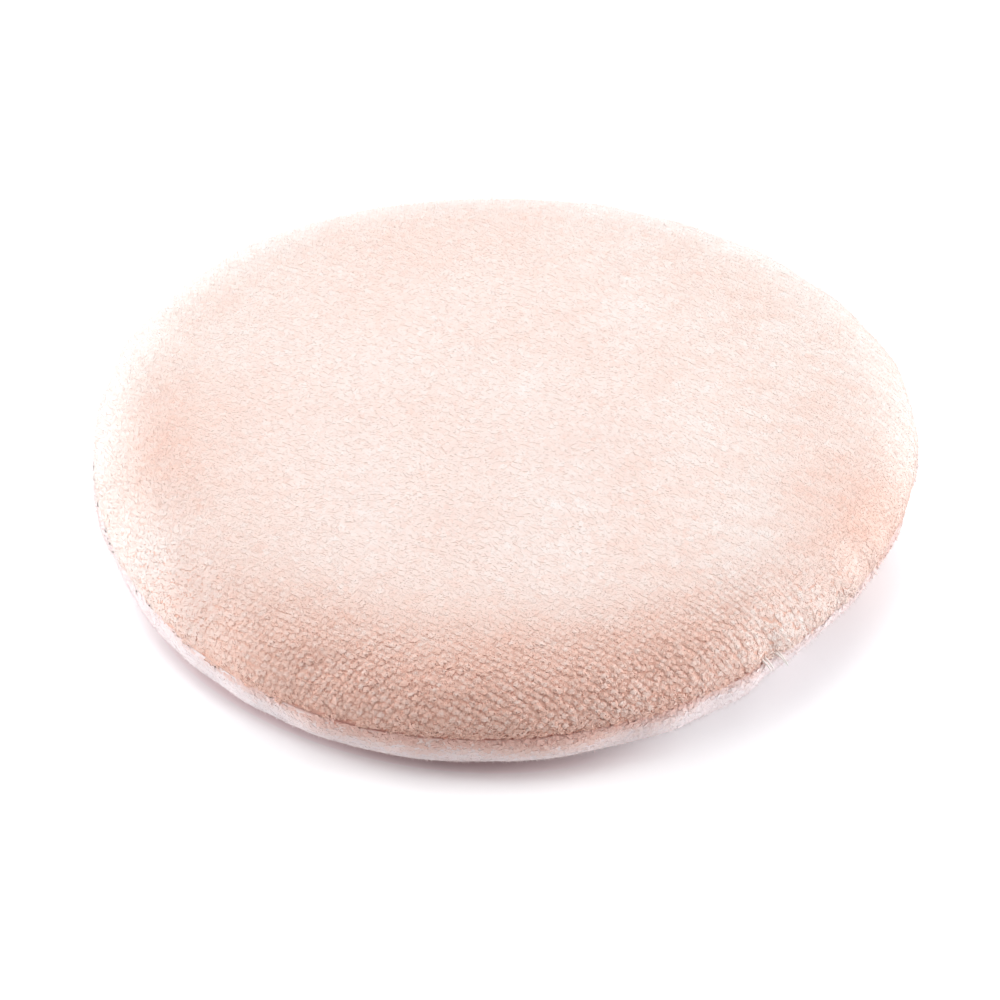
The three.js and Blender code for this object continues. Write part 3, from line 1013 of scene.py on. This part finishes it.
stray = {
    "perTuft": {"upper": 5, "lower": 4},
    "length": (0.20 * mm, 0.60 * mm),
    "share": {"upper": 1.0, "lower": 0.8},
    "faceShare": 0.25,  # single fibres are shorter on the face
    "fringeLonger": 0.4,
    "hazeLonger": 0.5,
    "puckerShorter": 0.9,
    "width": 0.07 * mm,
    "spread": 0.2 * mm,  # of their feet round the middle of a tuft
    "rooted": 0.12 * mm,
    "along": 0.8,  # how far they lean with the pile
    "loose": 0.45,  # and how much each strays from that
    "fringeOut": 0.9,  # along the hand-closed seam they stand out and hang
    "fringeDown": 0.9,
    "thick": 0.4,  # and some cling together
    "thickShare": 0.25,
    # painted light: single fibres are paler than their tufts, as if lit from behind
    "paler": 0.06,
    "range": (0.05, 0.95),
    "heights": (0.92, 0.92, 0.94, 1.0),  # on the map, for the three corners of the base and the tip
}


# Single fibres that stand off the pile: thin pyramids with their base among the tips
def strayPoints(cover, field, count):
    tufts = len(field["tone"])
    normal, lying, across = [field[k][:, None] for k in ("normal", "lying", "across")]
    fringe = field["fringe"][:, None]
    foot = chance.normal(0, stray["spread"], (tufts, count, 2))
    foot = foot[..., :1] * lying + foot[..., 1:] * across
    foot = foot + field["points"][:, None] - stray["rooted"] * normal
    way = normal + stray["along"] * field["lean"][:, None]
    radial = unit(field["points"] * level)[:, None]
    way = way + fringe[..., None] * (stray["fringeOut"] * radial - stray["fringeDown"] * upward)
    way = unit(way + chance.normal(0, stray["loose"], foot.shape))
    length = chance.uniform(*stray["length"], (tufts, count)) * stray["share"][cover["name"]]
    length = length * (stray["faceShare"] + (1 - stray["faceShare"]) * field["rim"][:, None])
    length = length * (1 + stray["fringeLonger"] * fringe + stray["hazeLonger"] * field["haze"][:, None])
    length = length * (1 - stray["puckerShorter"] * inPucker(foot))
    first = unit(np.cross(way, chance.normal(0, 1, way.shape)))
    second = np.cross(way, first)
    clinging = chance.uniform(0, 1, (tufts, count)) < stray["thickShare"]
    half = (stray["width"] / 2 * (1 + stray["thick"] * fringe * clinging))[..., None]
    base = [foot + half * (math.cos(a) * first + math.sin(a) * second) for a in turnSteps(3)]
    points = np.stack([*base, foot + way * length[..., None]], 2)
    faces = np.array([[0, 1, 3], [1, 2, 3], [2, 0, 3], [0, 2, 1]])
    # painted light: paler than the tuft, as if lit from behind
    tone = np.clip(field["tone"] + stray["paler"], *stray["range"])[:, None]
    spots = wedgeSpots(tone, np.array(stray["heights"]), tufts, count)
    return points.reshape(tufts, -1, 3), faces, spots


# Keeps a cover's pile on its own side of the seam and off the floor
def keepClear(cover, points, angle):
    clear = pile["seamClear"] - pile["crossing"] * towards(angle, pile["crossingWay"])
    clear = clear + chance.normal(0, pile["sway"], len(angle))
    line = seamHeight + (cover["side"] * clear - handmade["droop"] * closing(angle))[:, None]
    keep = np.maximum if cover["side"] > 0 else np.minimum
    points[..., 2] = np.maximum(keep(points[..., 2], line), pile["floorClear"])


# A cover's pile, cut by angle into pieces of much the same size
def pilePieces(cover, material):
    field = tuftField(cover)
    coarse, fine = [{k: v[keep] for k, v in field.items()} for keep in (~field["fine"], field["fine"])]
    faceLocks, rimLocks = pile["locks"][cover["name"]]
    kinds = (
        (coarse, *lockPoints(cover, coarse, faceLocks)),
        (fine, *lockPoints(cover, fine, rimLocks)),
        (fine, *strayPoints(cover, fine, stray["perTuft"][cover["name"]])),
    )
    for group, points, _, _ in kinds:
        keepClear(cover, points, group["angle"])
    made = []
    count = pile["piecesOf"][cover["name"]]
    edges = np.quantile(fine["angle"], np.arange(1, count) / count)
    for part in range(count):
        start, points, faces, spots = 0, [], [], []
        for group, kindPoints, kindFaces, kindSpots in kinds:
            chosen = np.searchsorted(edges, group["angle"]) == part
            chosenPoints = kindPoints[chosen].reshape(-1, 3)
            wedges = np.arange(len(chosenPoints) // 4)
            points.append(chosenPoints)
            spots.append(kindSpots[chosen].reshape(-1, 2))
            faces.append((kindFaces + 4 * wedges[:, None, None]).reshape(-1, 3) + start)
            start += len(chosenPoints)
        name = f"{cover['name']}Pile{part + 1}"
        points, faces, spots = [np.concatenate(arrays) for arrays in (points, faces, spots)]
        made.append(meshPiece(name, points, faces, material, spots, smooth=False))
    print(cover["name"], "pile:", len(field["tone"]), "tufts in", len(made), "pieces")
    return made


strands = {
    "angle": math.radians(-48.5),  # on the rim, where the hand-closed stretch starts
    "share": 0.985,  # of the way from the middle of the upper cover to its seam
    "count": 5,
    "sides": 5,
    "rings": 6,
    "spread": 0.7 * mm,
    "length": (0.8 * mm, 1.3 * mm),
    "radius": 0.15 * mm,
    "taper": 0.6,
    "aside": 0.45,  # they point out of the rim, and this far along it and down
    "down": 0.6,
    "vary": 0.25,
    "sag": 0.6,
    "tone": 0.9,
    "heights": (0.86, 0.99),  # on the map, for the first and last ring
    "poleHeights": (0.84, 1.0),
}


# Loose locks at the end of the hand-closed stretch: tapering tubes along parabolas that sag
def strandsPiece(material):
    count, sides, rings = strands["count"], strands["sides"], strands["rings"]
    angle = strands["angle"] + chance.normal(0, strands["spread"], count) / rimRadius
    base = readGrid(upperCover["points"], angle, np.full(count, strands["share"]))
    radial = np.stack([np.cos(angle), np.sin(angle), 0 * angle], -1)
    side = np.stack([-np.sin(angle), np.cos(angle), 0 * angle], -1)
    way = radial + strands["aside"] * side - strands["down"] * upward
    way = unit(way + chance.normal(0, strands["vary"], (count, 3)))
    length = chance.uniform(*strands["length"], count)[:, None, None]
    t = np.linspace(0, 1, rings)[:, None]
    axis = base[:, None] + length * (t * way[:, None] - strands["sag"] * t**2 * upward)
    first = unit(np.cross(way, upward))[:, None, None]
    second = np.cross(way[:, None, None], first)
    turn = turnSteps(sides)[:, None]
    width = strands["radius"] * (1 - strands["taper"] * t)[..., None]
    tube = axis[:, :, None] + width * (np.cos(turn) * first + np.sin(turn) * second)
    u = np.repeat(np.arange(sides) % 2 * 2 - 1, rings) * pile["mapWidth"]
    u = np.concatenate([u, [0, 0]]) + strands["tone"]
    v = np.tile(np.linspace(*strands["heights"], rings), sides)
    v = np.concatenate([v, strands["poleHeights"]])
    points, faces = [], []
    for each in range(count):
        ring = np.transpose(tube[each], (1, 0, 2))
        skin, skinFaces = closedRings(ring, axis[each, 0], axis[each, -1])
        points.append(skin)
        faces.append(skinFaces + each * len(skin))
    spots = np.tile(np.stack([u, v], -1), (count, 1))
    return meshPiece("looseStrands", np.concatenate(points), np.concatenate(faces), material, spots)


core = {
    "inset": cloth["pileHeight"] + cloth["ground"] + 0.4 * mm,  # 0.4 mm off the inside of the covers
    "roundSteps": 180,
    "outSteps": 50,
    "shares": (0.02, 0.86),  # of the way from the middle of a cover to its seam
    "cellDepth": 0.12 * mm,
    "cellSize": 1.4 * mm,
    "cellSeed": 31,
    "cellWaves": 12,
    "groove": 1.6 * mm,
    "grooveClear": 0.6 * mm,  # from the turned-in edges
}


# The foam pad: both grounds' insides moved in a little more, nipped where the turned-in edges lie
def foamPiece(material):
    angle = turnSteps(core["roundSteps"])
    share = np.linspace(*core["shares"], core["outSteps"])
    a, s = np.meshgrid(angle, share, indexing="ij")
    halves = []
    for cover in covers:
        normal = readGrid(cover["normal"], a, s)
        skin = readGrid(cover["points"], a, s) - normal * core["inset"]
        cells = ripple(skin[..., 0], skin[..., 1], core["cellSize"], core["cellSeed"], core["cellWaves"])
        halves.append(skin - normal * np.abs(core["cellDepth"] * cells)[..., None])
    neckR = cloth["stitchRadius"] - cloth["allowance"] - core["grooveClear"]
    ring = np.stack([np.cos(angle), np.sin(angle)], -1) * neckR
    neck = [
        np.concatenate([ring, np.full((len(angle), 1), seamHeight + lift)], 1)
        for lift in (core["groove"], 0, -core["groove"])
    ]
    rings = np.concatenate([halves[0], np.stack(neck, 1), halves[1][:, ::-1]], 1)
    points, faces = closedRings(rings, halves[0][:, 0].mean(0), halves[1][:, 0].mean(0))
    return meshPiece("foamCore", points, faces, material)


stage = {
    "size": 1.6,
    "floor": (0.90, 0.90, 0.91),
    "seen": (1.37, 1.38, 1.40),  # brighter than a real floor, so that it is white in this light
    "shades": (  # painted shadow by the puff, tinted with its colour: less at the right, more in front
        {
            "colour": (0.91, 0.91, 0.94),
            "offFromTo": (45 * mm, 37 * mm),  # from the middle of the puff
            "way": (0.84, -0.545, 0.0),
            "wayFromTo": (30 * mm, 42 * mm),
        },
        {
            "colour": (0.69, 0.47, 0.48),
            "offFromTo": (40.2 * mm, 36.5 * mm),
            "way": (-0.375, -0.927, 0.0),
            "wayFromTo": (22 * mm, 38 * mm),
        },
    ),
    "plainFromTo": (90 * mm, 140 * mm),  # farther off the floor is white without any shade
}
lighting = {
    "lamps": {
        "topLight": {"place": (-0.04, 0.18, 0.70), "size": 0.9, "power": 2.2},
        "leftLight": {"place": (-0.60, 0.05, 0.14), "size": 0.4, "power": 3.4},
        "rightLight": {"place": (0.60, 0.0, 0.14), "size": 0.4, "power": 3.2},
    },
    "fill": 0.45,
    "frontDusk": 0.62,  # the light from the front is weaker, that from the back stronger
    "white": (1, 1, 1, 1),
}


# A pale floor: plain for the light that it gives back, white where it is looked at, with a painted shadow by
# the puff
def makeStage():
    material, tree = newMaterial("paleFloor")
    plain = tree.node("ShaderNodeBsdfDiffuse", None, {"Color": (*stage["floor"], 1)})
    place = ownPlace(tree)
    off = tree.node("ShaderNodeVectorMath", {"operation": "LENGTH"}, {0: place}, outlet="Value")
    colour = stage["seen"]
    # painted shadow by the puff, only where the floor is looked at
    for shade in stage["shades"]:
        near = ramp(off, *shade["offFromTo"]) * ramp(alongWay(place, shade["way"]), *shade["wayFromTo"])
        colour = blend(tree, near, colour, shade["colour"])
    shaded = tree.node("ShaderNodeBsdfDiffuse", None, {"Color": colour})
    blank = tree.node("ShaderNodeEmission", None, {"Color": lighting["white"], "Strength": 1.0})
    away = ramp(off, *stage["plainFromTo"])
    seen = tree.node("ShaderNodeMixShader", None, {0: away, 1: shaded, 2: blank})
    output(tree, tree.node("ShaderNodeMixShader", None, {0: lookedAt(tree), 1: plain, 2: seen}))
    half = stage["size"] / 2
    corners = [(-half, -half, 0), (half, -half, 0), (half, half, 0), (-half, half, 0)]
    meshPiece("paleFloor", corners, [[0, 1, 2, 3]], material)


# Three soft lamps, and a sky that is white where it is looked at and dimmer as a light
def makeLight():
    for name, settings in lighting["lamps"].items():
        lamp = bpy.data.lights.new(name, "AREA")
        lamp.size = settings["size"]
        lamp.energy = settings["power"]
        holder = bpy.data.objects.new(name, lamp)
        holder.location = settings["place"]
        holder.rotation_euler = Vector(settings["place"]).to_track_quat("Z", "Y").to_euler()
        bpy.context.collection.objects.link(holder)
    world = bpy.data.worlds.new("studio")
    world.use_nodes = True
    world.node_tree.nodes.clear()
    tree = Wire(world.node_tree, None)
    seen = lookedAt(tree)
    back = axisOf(tree.node("ShaderNodeTexCoord", outlet="Generated"), 1)
    strength = lighting["fill"] * (1 + lighting["frontDusk"] * back)
    strength = strength * (1 - seen) + seen
    sky = tree.node("ShaderNodeBackground", None, {"Color": lighting["white"], "Strength": strength})
    tree.node("ShaderNodeOutputWorld", None, {"Surface": sky})
    bpy.context.scene.world = world


bpy.context.scene.view_settings.view_transform = "Standard"
makeCamera()
makeStage()
makeLight()
print("camera, floor and light set")

moved = settleCovers()
for cover, coverMoved in zip(covers, moved):
    coverGrid(cover, coverMoved)

thread = threadMaterial()
for cover, nodeName, slotName in (
    (upperCover, "upper_cover", "velour_upper"),
    (lowerCover, "lower_cover", "velour_lower"),
):
    sheet = velourPiece(cover, bedMaterial(cover["name"]))
    velour = pileMaterial(cover["name"])
    tufts = pilePieces(cover, velour)
    if cover["side"] > 0:
        tufts.append(strandsPiece(velour))
    for piece in (sheet, *tufts):
        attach(piece, "root")
    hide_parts(nodeName)
print("covers made")

foam = foamPiece(foamMaterial())
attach(foam, "root")
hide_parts("foam_pad")
for nodeName in ("needle_thread", "bobbin_thread", "closing_thread"):
    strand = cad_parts[nodeName]
    strand.data.materials.clear()
    strand.data.materials.append(thread)
print("foam and threads made")
